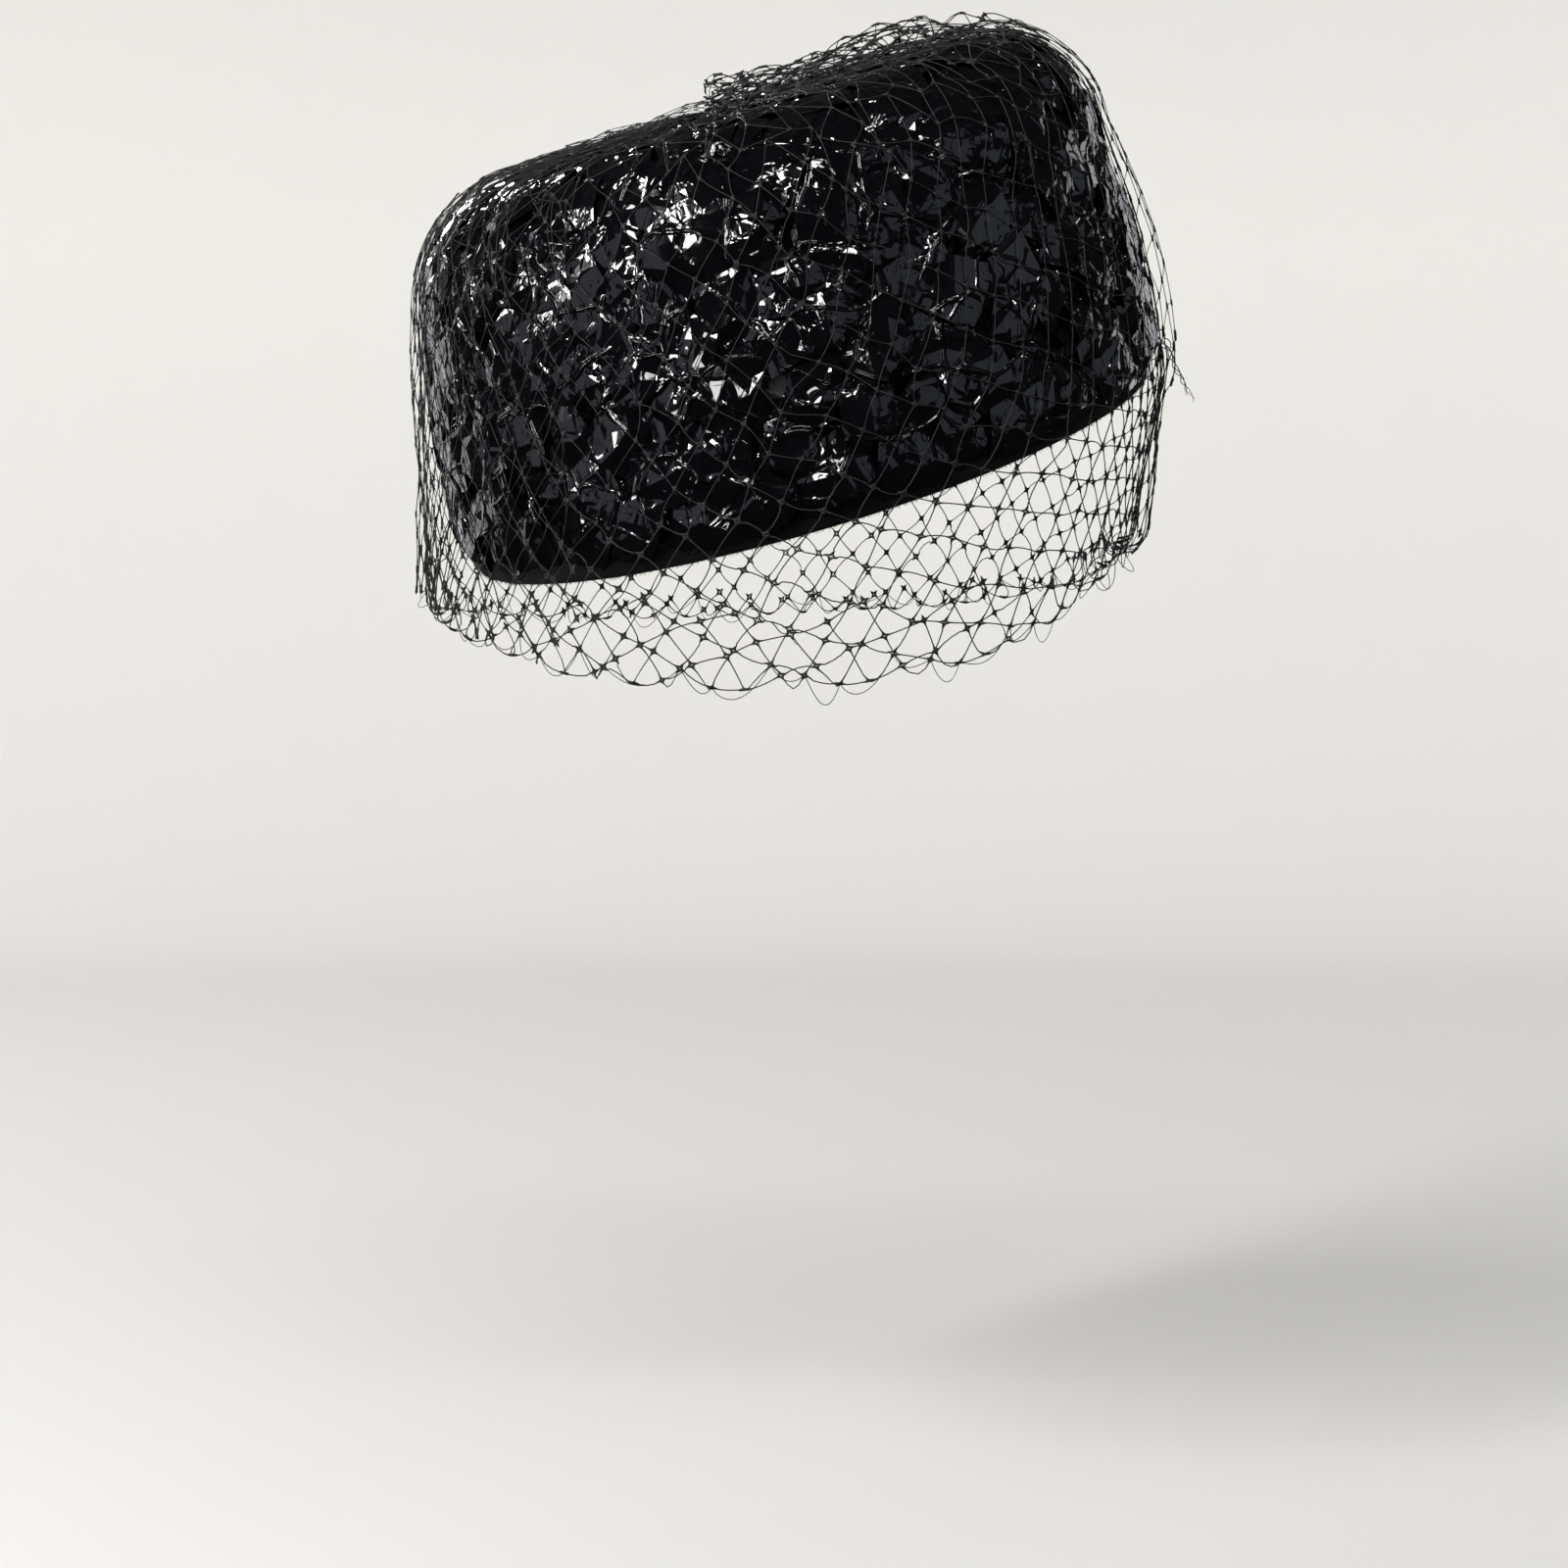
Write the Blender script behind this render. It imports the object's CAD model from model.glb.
import math

import bpy
import numpy as np
from mathutils import Euler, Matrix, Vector


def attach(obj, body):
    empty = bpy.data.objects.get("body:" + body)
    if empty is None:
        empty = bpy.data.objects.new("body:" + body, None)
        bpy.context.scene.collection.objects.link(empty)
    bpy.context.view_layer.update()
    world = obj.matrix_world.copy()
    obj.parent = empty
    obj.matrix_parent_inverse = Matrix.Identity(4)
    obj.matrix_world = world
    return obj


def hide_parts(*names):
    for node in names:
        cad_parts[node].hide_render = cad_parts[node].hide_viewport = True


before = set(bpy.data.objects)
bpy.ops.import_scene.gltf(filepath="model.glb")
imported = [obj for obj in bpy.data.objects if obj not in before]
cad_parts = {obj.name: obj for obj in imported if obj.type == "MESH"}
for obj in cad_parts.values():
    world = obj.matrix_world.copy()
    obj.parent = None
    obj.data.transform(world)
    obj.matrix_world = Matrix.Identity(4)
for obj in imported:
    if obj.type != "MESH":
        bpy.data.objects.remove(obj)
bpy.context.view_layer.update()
print("frame loaded:", ", ".join(sorted(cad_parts)))

mm = 0.001

# The hat's form, in its own frame: Z up its axis, X to the wearer's left, Y to the back.
hatForm = {
    "rimHalfWidth": 95 * mm,
    "depthRatio": 1.06,             # front to back over side to side
    "crownHeight": 93 * mm,
    "edgeRadius": 26 * mm,          # rounded edge between side and tip
    "crownWall": 2.4 * mm,
    "lean": 0.08,                   # sideways drift of the tip, per metre of height
    "bindingHeight": 5.5 * mm,
    "tiltSide": 17,                 # degrees, as worn
    "tiltFront": 15,
    "sideSections": [               # share of the height, share of the rim's half width
        (0.00, 1.000),
        (0.22, 1.008),
        (0.45, 0.994),
        (0.75, 0.945),
    ],
}
worn = np.array(Euler((
    math.radians(hatForm["tiltFront"]), -math.radians(hatForm["tiltSide"]), 0
)).to_matrix())


# A smooth line through a table's rows, read at many places at once.
def smoothCurve(table, places, column=1):
    rows = np.array(table, float)
    xs, ys = rows[:, 0], rows[:, column]
    slopes = np.empty_like(ys)
    slopes[1:-1] = (ys[2:] - ys[:-2]) / (xs[2:] - xs[:-2])
    slopes[0] = (ys[1] - ys[0]) / (xs[1] - xs[0])
    slopes[-1] = (ys[-1] - ys[-2]) / (xs[-1] - xs[-2])
    low = np.clip(np.searchsorted(xs, places) - 1, 0, len(xs) - 2)
    span = xs[low + 1] - xs[low]
    t = np.clip((places - xs[low]) / span, 0, 1)
    return ((2 * t**3 - 3 * t**2 + 1) * ys[low] + (t**3 - 2 * t**2 + t) * slopes[low] * span
            + (3 * t**2 - 2 * t**3) * ys[low + 1] + (t**3 - t**2) * slopes[low + 1] * span)


# The same for a table that goes once round, in degrees.
def roundCurve(table, degrees, column=1):
    before = [(row[0] - 360, *row[1:]) for row in table[-2:]]
    after = [(row[0] + 360, *row[1:]) for row in table[:3]]
    return smoothCurve(before + list(table) + after, np.mod(degrees, 360), column)


# The crown's outline from its axis over the tip, round the edge and down the side: how far
# along, how far out, how high, and which way is outwards.
def crownOutline():
    form = hatForm
    edgeStart = form["crownHeight"] - form["edgeRadius"]
    sideHeights = np.linspace(edgeStart, 0, 80)
    sideReach = form["rimHalfWidth"] * smoothCurve(
        form["sideSections"], sideHeights / form["crownHeight"])
    flatReach = sideReach[0] - form["edgeRadius"]
    tipReach = np.linspace(0, flatReach, 60)
    turn = np.linspace(math.pi / 2, 0, 40)[1:]
    reach = np.concatenate(
        [tipReach, flatReach + form["edgeRadius"] * np.cos(turn), sideReach[1:]])
    height = np.concatenate([
        np.full_like(tipReach, form["crownHeight"]),
        edgeStart + form["edgeRadius"] * np.sin(turn), sideHeights[1:]])
    along = np.concatenate([[0], np.cumsum(np.hypot(np.diff(reach), np.diff(height)))])
    outX, outZ = -np.gradient(height, along), np.gradient(reach, along)
    return {"along": along, "reach": reach, "height": height, "outX": outX, "outZ": outZ,
            "flatReach": flatReach}


outline = crownOutline()
bindingAlong = np.interp(-hatForm["bindingHeight"], -outline["height"], outline["along"])


# Points of the hat as worn, from reach, height and turn in its own frame.
def hatPoints(reach, height, turn):
    local = np.stack([
        reach * np.cos(turn) + hatForm["lean"] * height,
        reach * hatForm["depthRatio"] * np.sin(turn),
        height + 0 * turn,
    ], axis=-1)
    return local @ worn.T


# Points over the crown, from the way along its outline, the turn and the lift off its wall.
def crownPoints(along, turn, lift):
    reach = np.interp(along, outline["along"], outline["reach"])
    height = np.interp(along, outline["along"], outline["height"])
    outX = np.interp(along, outline["along"], outline["outX"])
    outZ = np.interp(along, outline["along"], outline["outZ"])
    return hatPoints(reach + lift * outX, height + lift * outZ, turn)


def unit(vectors):
    return vectors / np.maximum(np.linalg.norm(vectors, axis=-1, keepdims=True), 1e-12)


# One object from lists of (points, faces), each with its own numbering.
def newPiece(name, parts, material):
    points, faces, start = [], [], 0
    for partPoints, partFaces in parts:
        points.append(np.asarray(partPoints).reshape(-1, 3))
        for group in partFaces:
            faces.extend((np.asarray(group) + start).tolist())
        start += len(points[-1])
    mesh = bpy.data.meshes.new(name)
    mesh.from_pydata(np.concatenate(points).tolist(), [], faces)
    mesh.polygons.foreach_set("use_smooth", np.full(len(mesh.polygons), True))
    mesh.materials.append(material)
    mesh.update()
    piece = bpy.data.objects.new(name, mesh)
    bpy.context.scene.collection.objects.link(piece)
    print(f"{name}: {sum(len(face) - 2 for face in faces)} triangles")
    return piece


# Quads of a grid of points, row by row, for one or many grids. A closed grid runs on from
# its last row or column to its first.
def gridFaces(count, rows, columns, closedAlong=False, closedAcross=False):
    row, column = np.meshgrid(
        np.arange(rows - (not closedAlong)), np.arange(columns - (not closedAcross)),
        indexing="ij")
    nextRow, nextColumn = (row + 1) % rows, (column + 1) % columns
    quads = np.stack([row * columns + column, row * columns + nextColumn,
                      nextRow * columns + nextColumn, nextRow * columns + column], -1)
    starts = np.arange(count)[:, None, None] * rows * columns
    return (quads.reshape(1, -1, 4) + starts).reshape(-1, 4)


# Points of a round section at each place of many paths.
def roundSections(paths, aside, up, radii, sides):
    turn = np.arange(sides) * math.tau / sides
    ring = aside[:, :, None] * np.cos(turn)[:, None] + up[:, :, None] * np.sin(turn)[:, None]
    return paths[:, :, None] + ring * radii[:, :, None, None]


# Round tubes along many open paths of the same number of points, with closed ends.
def tubes(paths, radii, sides):
    count, steps = paths.shape[:2]
    radii = np.broadcast_to(radii, (count, steps))
    tangents = unit(np.gradient(paths, axis=1))
    across = unit(paths[:, -1] - paths[:, 0] + 1e-9)
    helper = np.where(np.abs(across[:, 2:]) > 0.8, [[1.0, 0, 0]], [[0, 0, 1.0]])
    aside = unit(np.cross(tangents, helper[:, None]))
    points = roundSections(paths, aside, np.cross(aside, tangents), radii, sides)
    starts = np.arange(count)[:, None] * steps * sides
    firstCap = starts + np.arange(sides)[::-1]
    lastCap = starts + (steps - 1) * sides + np.arange(sides)
    walls = gridFaces(count, steps, sides, closedAcross=True)
    return points.reshape(-1, 3), [walls[:, ::-1], firstCap[:, ::-1], lastCap[:, ::-1]]


# Thin rings along many closed paths.
def rings(paths, radii, sides, normals):
    count, steps = paths.shape[:2]
    tangents = unit(np.roll(paths, -1, 1) - np.roll(paths, 1, 1))
    up = np.broadcast_to(normals[:, None], paths.shape)
    points = roundSections(paths, unit(np.cross(tangents, up)), up, radii, sides)
    walls = gridFaces(count, steps, sides, closedAlong=True, closedAcross=True)
    return points.reshape(-1, 3), [walls[:, ::-1]]


# Materials

def nodeMaker(tree):
    def make(kind, values=None, **settings):
        node = tree.nodes.new(kind)
        for name, value in settings.items():
            setattr(node, name, value)
        for name, value in (values or {}).items():
            if isinstance(value, bpy.types.NodeSocket):
                tree.links.new(value, node.inputs[name])
            else:
                node.inputs[name].default_value = value
        return node
    return make


def newGroup(name, inputs, outputs):
    group = bpy.data.node_groups.new(name, "ShaderNodeTree")
    for label, value in inputs.items():
        socket = group.interface.new_socket(label, in_out="INPUT", socket_type="NodeSocketFloat")
        socket.default_value = value
    for label in outputs:
        group.interface.new_socket(label, in_out="OUTPUT", socket_type="NodeSocketFloat")
    make = nodeMaker(group)
    return group, make, make("NodeGroupInput"), make("NodeGroupOutput")


# Crinkles of a stiff film: flat cells that each lean their own way and meet in thin creases,
# in two sizes. The small ones come in patches. The height is in metres.
crinkle = {
    "wavesPerMetre": 60.0,          # slow waves that bend the cells
    "warp": 6 * mm,
    "creaseWidth": 0.12,            # share of a cell
    "fineScale": 2.7,               # how many small cells lie along a large one
    "patchesPerMetre": 85.0,        # where the small cells come
    "patchRange": (0.45, 0.6),
    "ridgeScale": 0.5,
    "ridgeWidth": 0.042,            # share of a ridge's cell
    "ridgePlacesPerMetre": 120.0,   # where a ridge stands
    "ridgeRange": (0.36, 0.48),
}


def makeFilmCrinkles():
    s = crinkle
    group, make, given, result = newGroup("filmCrinkles", {
        "Cells per metre": 150.0, "Lean": 0.6, "Fine lean": 0.8, "Ridge height": 0.0003},
        ["Height"])
    place = make("ShaderNodeTexCoord").outputs["Object"]

    def compute(operation, *values):
        return make("ShaderNodeMath", dict(enumerate(values)), operation=operation).outputs[0]

    def vector(operation, first, second, output="Vector"):
        node = make("ShaderNodeVectorMath", {0: first, 1: second}, operation=operation)
        return node.outputs[output]

    def patches(scale, detail, reach):
        noise = make("ShaderNodeTexNoise", {"Vector": place, "Scale": scale, "Detail": detail})
        share = make("ShaderNodeMapRange", {
            "Value": noise.outputs["Fac"], "From Min": reach[0], "From Max": reach[1]})
        return share.outputs["Result"]

    waves = make("ShaderNodeTexNoise", {
        "Vector": place, "Scale": s["wavesPerMetre"], "Detail": 2.0})
    bent = vector("ADD", place, vector("MULTIPLY", waves.outputs["Color"], (s["warp"],) * 3))

    def cells(scale, lean):
        cell = make("ShaderNodeTexVoronoi", {"Vector": bent, "Scale": scale})
        edge = make("ShaderNodeTexVoronoi", {"Vector": bent, "Scale": scale},
                    feature="DISTANCE_TO_EDGE")
        way = vector("SUBTRACT", cell.outputs["Color"], (0.5, 0.5, 0.5))
        plane = vector("DOT_PRODUCT", vector("SUBTRACT", bent, cell.outputs["Position"]), way,
                       "Value")
        inside = make("ShaderNodeMapRange", {
            "Value": edge.outputs["Distance"], "From Max": s["creaseWidth"]})
        return compute("MULTIPLY", compute("MULTIPLY", plane, lean), inside.outputs["Result"])

    size = given.outputs["Cells per metre"]
    fineSize = compute("MULTIPLY", size, s["fineScale"])
    fineLean = compute("MULTIPLY", patches(s["patchesPerMetre"], 1.0, s["patchRange"]),
                       given.outputs["Fine lean"])
    flats = compute("ADD", cells(size, given.outputs["Lean"]), cells(fineSize, fineLean))

    # Pinched ridges: thin, round and long, here and there.
    pinch = make("ShaderNodeTexVoronoi", {
        "Vector": bent, "Scale": compute("MULTIPLY", size, s["ridgeScale"])},
        feature="DISTANCE_TO_EDGE")
    ridge = make("ShaderNodeMapRange", {
        "Value": pinch.outputs["Distance"], "From Max": s["ridgeWidth"],
        "To Min": 1.0, "To Max": 0.0}, interpolation_type="SMOOTHSTEP").outputs["Result"]
    ridge = compute("MULTIPLY", ridge, patches(s["ridgePlacesPerMetre"], 0.0, s["ridgeRange"]))
    height = compute("MULTIPLY_ADD", ridge, given.outputs["Ridge height"], flats)
    group.links.new(height, result.inputs["Height"])
    return group


# Short pile or twisted fibre: fine uneven grain with soft patches.
def makeFibreGrain():
    group, make, given, result = newGroup(
        "fibreGrain", {"Grain per metre": 4000.0, "Patches per metre": 90.0},
        ["Grain", "Patch"])
    place = make("ShaderNodeTexCoord").outputs["Object"]
    grain = make("ShaderNodeTexNoise", {
        "Vector": place, "Scale": given.outputs["Grain per metre"], "Detail": 2.0,
        "Roughness": 0.7})
    patch = make("ShaderNodeTexNoise", {
        "Vector": place, "Scale": given.outputs["Patches per metre"], "Detail": 3.0})
    group.links.new(grain.outputs["Fac"], result.inputs["Grain"])
    group.links.new(patch.outputs["Fac"], result.inputs["Patch"])
    return group


filmCrinkles = makeFilmCrinkles()
fibreGrain = makeFibreGrain()


# A material from values that are the same all over, and a function that mixes its two tones.
def newMaterial(name, values):
    material = bpy.data.materials.new(name)
    material.use_nodes = True
    shader = material.node_tree.nodes["Principled BSDF"]
    for label, value in values.items():
        shader.inputs[label].default_value = value
    make = nodeMaker(material.node_tree)

    def mixTones(factor, first, second):
        color = make("ShaderNodeMix", {"Factor": factor, 6: (*first, 1), 7: (*second, 1)},
                     data_type="RGBA")
        material.node_tree.links.new(color.outputs[2], shader.inputs["Base Color"])

    return material, shader, make, mixTones


def makeFilm(name, dark, light, roughness, cells, lean, fineLean, ridge):
    material, shader, make, mixTones = newMaterial(name, {"IOR": 1.42})
    crinkles = make("ShaderNodeGroup", {
        "Cells per metre": cells, "Lean": lean, "Fine lean": fineLean, "Ridge height": ridge},
        node_tree=filmCrinkles)
    patch = make("ShaderNodeGroup", {"Patches per metre": 70.0},
                 node_tree=fibreGrain).outputs["Patch"]
    rough = make("ShaderNodeMapRange", {
        "Value": patch, "From Min": 0.3, "From Max": 0.7,
        "To Min": roughness[0], "To Max": roughness[1]})
    bump = make("ShaderNodeBump", {
        "Height": crinkles.outputs["Height"], "Strength": 1.0, "Distance": 1.0})
    mixTones(patch, dark, light)
    material.node_tree.links.new(rough.outputs["Result"], shader.inputs["Roughness"])
    material.node_tree.links.new(bump.outputs["Normal"], shader.inputs["Normal"])
    return material


def makeCloth(name, dark, light, roughness, grain, depth, shine):
    material, shader, make, mixTones = newMaterial(name, {
        "Roughness": roughness, "Sheen Weight": 0.02, "Sheen Roughness": 0.5,
        "Specular IOR Level": shine})
    fibres = make("ShaderNodeGroup", {"Grain per metre": grain}, node_tree=fibreGrain)
    bump = make("ShaderNodeBump", {
        "Height": fibres.outputs["Grain"], "Strength": 0.8, "Distance": depth})
    mixTones(fibres.outputs["Patch"], dark, light)
    material.node_tree.links.new(bump.outputs["Normal"], shader.inputs["Normal"])
    return material


finishes = {
    "film": makeFilm("strawFilm", (0.0004, 0.0004, 0.0006), (0.0012, 0.0012, 0.0018),
                     (0.04, 0.09), 120.0, 0.11, 0.10, 0.50 * mm),
    "foundation": makeFilm("strawFoundation", (0.002, 0.002, 0.003), (0.005, 0.005, 0.006),
                           (0.4, 0.6), 260.0, 0.3, 0.3, 0.1 * mm),
    "velvet": makeCloth("bindingVelvet", (0.0005, 0.0005, 0.0006), (0.0014, 0.0014, 0.0017),
                        0.95, 3500.0, 0.25 * mm, 0.05),
    "thread": makeCloth("netThread", (0.0015, 0.0015, 0.002), (0.012, 0.012, 0.013),
                        0.5, 6000.0, 0.05 * mm, 0.16),
}
print("materials made")


# Straw: ribbons of crinkled film, each arched up and tucked under at both ends, crosswise by
# turns over the whole crown.
straw = {
    "seed": 5,
    "columns": 36,                  # ribbons in one round of the side
    "rows": 9,
    "overBinding": 2.6 * mm,        # how far the straw's edge laps over the binding
    "firstAlong": 60 * mm,          # where the side's rows start, along the outline
    "tipRings": 5,
    "tipSpacing": 1.15,             # gap in a ring over the gap between rings
    "halfLength": 15 * mm,
    "halfWidth": 8.5 * mm,
    "highRise": 3.4 * mm,
    "lowRise": 2.2 * mm,
    "mostLift": 4.4 * mm,           # the net lies on this
    "tuck": 2.6 * mm,               # how deep the ends go into the wall
    "tilt": 1.5 * mm,               # how much one long edge stands over the other
    "turnSpread": 38,               # degrees that a ribbon strays from its row
    "lengthSteps": 7,
    "widthSteps": 5,
    "unevenSteps": 0.34,            # how far a fold's corner strays, in steps
    "planes": 5,                    # flat plates over one ribbon
    "crumple": (0.10 * mm, 0.85 * mm),
    "pleat": 1.7 * mm,              # long folds from end to end
    "foldWidth": 0.45 * mm,         # rounding of its folds
}


# Lift of each ribbon's corners on its own grid, and its grid in its own plane.
def ribbonShapes(count, rise, dice, s):
    a, b = s["halfLength"], s["halfWidth"]
    rows, columns = s["lengthSteps"], s["widthSteps"]

    def draw(low, high, *shape):
        return dice.uniform(low, high, (count, *(shape or (1, 1))))

    t = np.linspace(-1, 1, rows)[None, :, None]
    w = np.linspace(-1, 1, columns)[None, None, :]
    strayT, strayW = 2 * s["unevenSteps"] / (rows - 1), 2 * s["unevenSteps"] / (columns - 1)
    t = t + draw(-strayT, strayT, rows, columns) * (np.abs(t) < 0.99)
    w = w + draw(-strayW, strayW, rows, columns) * (np.abs(w) < 0.99)

    narrow = draw(0.05, 0.4)
    breadth = b * draw(0.7, 1.15) * (
        1 - narrow + narrow * np.maximum(np.cos(math.pi / 2 * t), 0) ** 0.6)
    x = a * draw(0.8, 1.12) * t
    y = breadth * w + draw(-0.14, 0.14) * a * (t**2 - 0.4)

    # Plates: the lowest of several leaning planes, then each corner is pushed up or down.
    plates = np.full(t.shape, np.inf)
    for plane in range(s["planes"]):
        way = draw(-0.6, 0.6) + math.tau * plane / s["planes"]
        steep = draw(0.05, 0.42)
        plates = np.minimum(plates, draw(0.0, 0.8) * mm - steep * (
            x * np.cos(way) + y * np.sin(way)))
    plates = plates - plates.mean(axis=(1, 2), keepdims=True)
    crumple = draw(*s["crumple"]) * dice.normal(0, 1, t.shape)
    pleats = draw(0, s["pleat"]) * draw(0.2, 1, 1, columns) * np.where(
        np.arange(columns) % 2 == 0, 1, -1)

    arch = rise[:, None, None] * (1 - np.abs(t) ** 3) - s["tuck"] * np.abs(t) ** 5
    tilt = draw(-1, 1) * s["tilt"] * w * (1 - t**4)
    lift = arch + tilt + (plates + crumple + pleats) * (1 - t**6)
    lift = np.where(lift > s["mostLift"], s["mostLift"] + 0.15 * (lift - s["mostLift"]), lift)
    chord = lift[:, :, :1] * (1 - w) / 2 + lift[:, :, -1:] * (1 + w) / 2
    lift = np.maximum(lift, chord + 0.12 * mm * (1 - w**2))
    return x, y, lift


# Closed bodies from ribbon grids: the crinkled top in triangles, a straight underside, two ends.
def ribbonBodies(points, dice):
    count, rows, columns = points.shape[:3]
    quads = gridFaces(count, rows, columns)[:, ::-1]
    other = dice.random(len(quads)) < 0.5
    quads[other] = np.roll(quads[other], 1, axis=1)
    starts = np.arange(count)[:, None] * rows * columns
    row = np.arange(rows - 1)[None, :] * columns
    left, right = starts + row, starts + row + columns - 1
    under = np.stack([left, left + columns, right + columns, right], -1).reshape(-1, 4)
    firstEnd = starts + np.arange(columns)[::-1]
    lastEnd = starts + (rows - 1) * columns + np.arange(columns)
    return points.reshape(-1, 3), [quads[:, [0, 1, 2]], quads[:, [0, 2, 3]], under[:, ::-1],
                                   firstEnd[:, ::-1], lastEnd[:, ::-1]]


# Ribbons at their places, the high ones crosswise to the others.
def layRibbons(name, place, high, along, dice, s):
    count = len(high)
    rise = np.where(high, s["highRise"], s["lowRise"]) * dice.uniform(0.75, 1.1, count)
    way = along + np.where(high, math.pi / 2, 0) + np.radians(
        dice.normal(0, s["turnSpread"], count))
    x, y, lift = ribbonShapes(count, rise, dice, s)
    cosine, sine = np.cos(way)[:, None, None], np.sin(way)[:, None, None]
    points = place(x * cosine - y * sine, x * sine + y * cosine, lift)
    piece = newPiece(name, [ribbonBodies(points, dice)], finishes["film"])
    folds = piece.modifiers.new("roundedFolds", "BEVEL")
    folds.width = s["foldWidth"]
    folds.segments = 1
    folds.limit_method = "ANGLE"
    folds.angle_limit = math.radians(6)
    folds.harden_normals = True
    return piece


def makeStrawSide():
    s = straw
    dice = np.random.default_rng(s["seed"])
    row, column = np.meshgrid(np.arange(s["rows"]), np.arange(s["columns"]), indexing="ij")
    row, column = row.ravel(), column.ravel()
    rowHeight = (bindingAlong - s["firstAlong"]) / s["rows"]
    count = len(row)
    along = s["firstAlong"] + (row + 0.5 + dice.uniform(-0.2, 0.2, count)) * rowHeight
    turn = (column + 0.5 * (row % 2) + dice.uniform(-0.2, 0.2, count)) * (
        math.tau / s["columns"])
    reach = np.interp(along, outline["along"], outline["reach"])[:, None, None]

    def place(du, dv, lift):
        far = along[:, None, None] + dv
        low = np.clip((bindingAlong + 3.5 * mm - far) / (6 * mm), 0.35, 1)
        far = np.minimum(far, bindingAlong + s["overBinding"])
        return crownPoints(far, turn[:, None, None] + du / reach, lift * low)

    return layRibbons("strawSide", place, (row + column) % 2 == 0, 0, dice, s)


def makeStrawTip():
    s = straw
    dice = np.random.default_rng(s["seed"] + 1)
    spots = [(0.0, 0.0)]
    gap = s["firstAlong"] / s["tipRings"]
    for ring in range(1, s["tipRings"] + 1):
        reach = ring * gap - 0.2 * gap
        number = max(6, round(math.tau * reach / (s["tipSpacing"] * gap)))
        for step in range(number):
            turn = (step + 0.5 * (ring % 2)) * math.tau / number
            spots.append((reach, turn))
    spots = np.array(spots)
    count = len(spots)
    turn = spots[:, 1] + dice.uniform(-0.1, 0.1, count)
    centreX, centreY = spots[:, 0] * np.cos(turn), spots[:, 0] * np.sin(turn)

    def place(du, dv, lift):
        x, y = centreX[:, None, None] + du, centreY[:, None, None] + dv
        return crownPoints(np.hypot(x, y), np.arctan2(y, x), lift)

    return layRibbons("strawTip", place, np.arange(count) % 2 == 0, turn, dice, s)


# The foundation under the straw: one hollow wall, plain inside, open below.
foundation = {
    "sides": 160,
    "steps": 60,
    "sink": 0.3 * mm,               # how far its outside lies under the ribbons' own level
}


def makeFoundation():
    s = foundation
    turn = np.arange(s["sides"]) * math.tau / s["sides"]
    along = np.linspace(0.6 * mm, bindingAlong, s["steps"])
    outer = crownPoints(along[:, None], turn[None], -s["sink"])
    inner = crownPoints(along[::-1, None], turn[None], -hatForm["crownWall"])
    rows = np.concatenate([outer, inner])
    last = len(rows) - 1
    walls = gridFaces(1, len(rows), s["sides"], closedAcross=True)
    caps = [np.arange(s["sides"])[None], (last * s["sides"] + np.arange(s["sides"])[::-1])[None]]
    return newPiece("crownFoundation", [(rows, [walls[:, ::-1]] + caps)], finishes["foundation"])


# Velvet binding: a soft band along the lower edge, slightly uneven, with a short pile.
binding = {
    "seed": 3,
    "thickness": 3.6 * mm,
    "sides": 300,
    "roundSteps": 16,
    "corners": (0.7, 0.55),         # how square the band's section is, out and up
    "unevenness": 0.25 * mm,
    "pileCount": 5200,
    "pileLength": 0.75 * mm,
    "pileRadius": 0.055 * mm,
}


def makeBinding():
    s = binding
    dice = np.random.default_rng(s["seed"])
    middle = hatForm["rimHalfWidth"] - hatForm["crownWall"] / 2
    halfHeight = hatForm["bindingHeight"] / 2
    turn = np.arange(s["sides"]) * math.tau / s["sides"]
    waves = sum(np.sin(number * turn + phase) / number**0.5 for number, phase in zip(
        (7, 13, 29, 47, 83), dice.uniform(0, math.tau, 5)))

    # The band's section is a rounded box.
    def surface(round_, turns, wave, lift):
        cosine, sine = np.cos(round_), np.sin(round_)
        out = np.sign(cosine) * np.abs(cosine) ** s["corners"][0] * (s["thickness"] / 2 + lift)
        up = np.sign(sine) * np.abs(sine) ** s["corners"][1] * (halfHeight - 0.1 * mm + lift)
        return hatPoints(middle + out + wave * s["unevenness"] * np.maximum(cosine, 0),
                         halfHeight + up + 0.3 * wave * s["unevenness"] * (sine < 0), turns)

    round_ = np.arange(s["roundSteps"]) * math.tau / s["roundSteps"]
    points = surface(round_[None], turn[:, None], waves[:, None], 0)
    band = gridFaces(1, s["sides"], s["roundSteps"], closedAlong=True, closedAcross=True)

    # Pile: short fibres on its outer and lower faces.
    count = s["pileCount"]
    rootTurn = dice.uniform(0, math.tau, count)
    rootRound = dice.uniform(-2.4, 1.1, count)
    wave = np.interp(rootTurn, turn, waves, period=math.tau)
    length = s["pileLength"] * dice.uniform(0.4, 1.0, count)
    steps = np.array([-0.2, 0.5, 1.0])
    lean = dice.normal(0, 0.35, (count, 2)) * length[:, None]
    fibres = surface(
        rootRound[:, None] + lean[:, :1] / (3 * mm) * steps,
        rootTurn[:, None] + lean[:, 1:] / middle * steps, wave[:, None],
        length[:, None] * steps)
    pile = tubes(fibres, s["pileRadius"] * np.array([1.0, 0.8, 0.25]), 3)
    return newPiece("rimBinding", [(points, [band[:, ::-1]]), pile], finishes["velvet"])


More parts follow.
